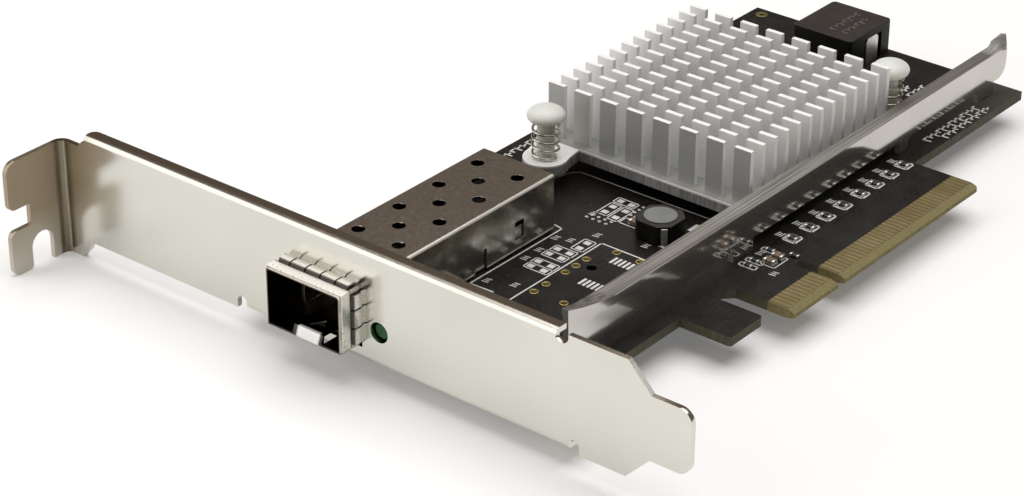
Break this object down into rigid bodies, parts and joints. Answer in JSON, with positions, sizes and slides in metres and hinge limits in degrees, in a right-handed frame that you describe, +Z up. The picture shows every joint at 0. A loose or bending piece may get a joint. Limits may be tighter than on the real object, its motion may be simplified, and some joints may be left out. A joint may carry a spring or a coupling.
{
  "type": "network interface card",
  "caption": "Flat card with a pluggable transceiver cage through a full-height slot bracket, a pinned heatsink and a gold card edge.",
  "frame": {"origin": "corner where the outer face of the rail tab, the outer face of the bracket and the board's component face meet", "axes": "+X from the rail tab to the bracket's tongue and out of the card edge, +Y from the bracket into the machine along the board, +Z up from the board's component face"},
  "size_m": [0.12, 0.1457, 0.0216],
  "materials": {
    "nickel_sheet": "satin",
    "bar_sheet": "satin",
    "cage_sheet": "satin",
    "board_laminate": "gloss",
    "gold": "polished",
    "sink_aluminium": "matt",
    "white_nylon": "matt",
    "spring_wire": "satin",
    "screw_steel": "satin",
    "black_core": "matt",
    "grey_cap": "matt",
    "tin": "satin",
    "black_plastic": "matt",
    "green_lens": "gloss",
    "dark_chip": "matt",
    "brown_ceramic": "satin",
    "chip_resin": "matt",
    "substrate": "satin",
    "grey_pad": "matt"
  },
  "bodies": {
    "root": {"bracket": "nickel_sheet", "bracket_screws": "screw_steel", "circuit_board": "board_laminate", "edge_contacts": "gold", "stiffener_bar": "bar_sheet", "cage_cover": "cage_sheet", "cage_base": "cage_sheet", "cage_gasket": "nickel_sheet", "socket_housing": "black_plastic", "socket_contacts": "gold", "led_holder": "black_plastic", "led_lens": "green_lens", "led_leads": "tin", "controller_substrate": "substrate", "controller_lid": "chip_resin", "thermal_pad": "grey_pad", "heatsink": "sink_aluminium", "push_pins": "white_nylon", "push_pin_springs": "spring_wire", "block_inductor_core": "black_core", "block_inductor_winding": "tin", "drum_inductor_core": "black_core", "drum_inductor_cap": "grey_cap", "drum_inductor_terminals": "tin", "resistor_bodies": "dark_chip", "resistor_ends": "tin", "capacitor_bodies": "brown_ceramic", "capacitor_ends": "tin", "flash_chip": "chip_resin", "crystal_can": "tin", "regulator_chip": "chip_resin"}
  },
  "joints": []
}
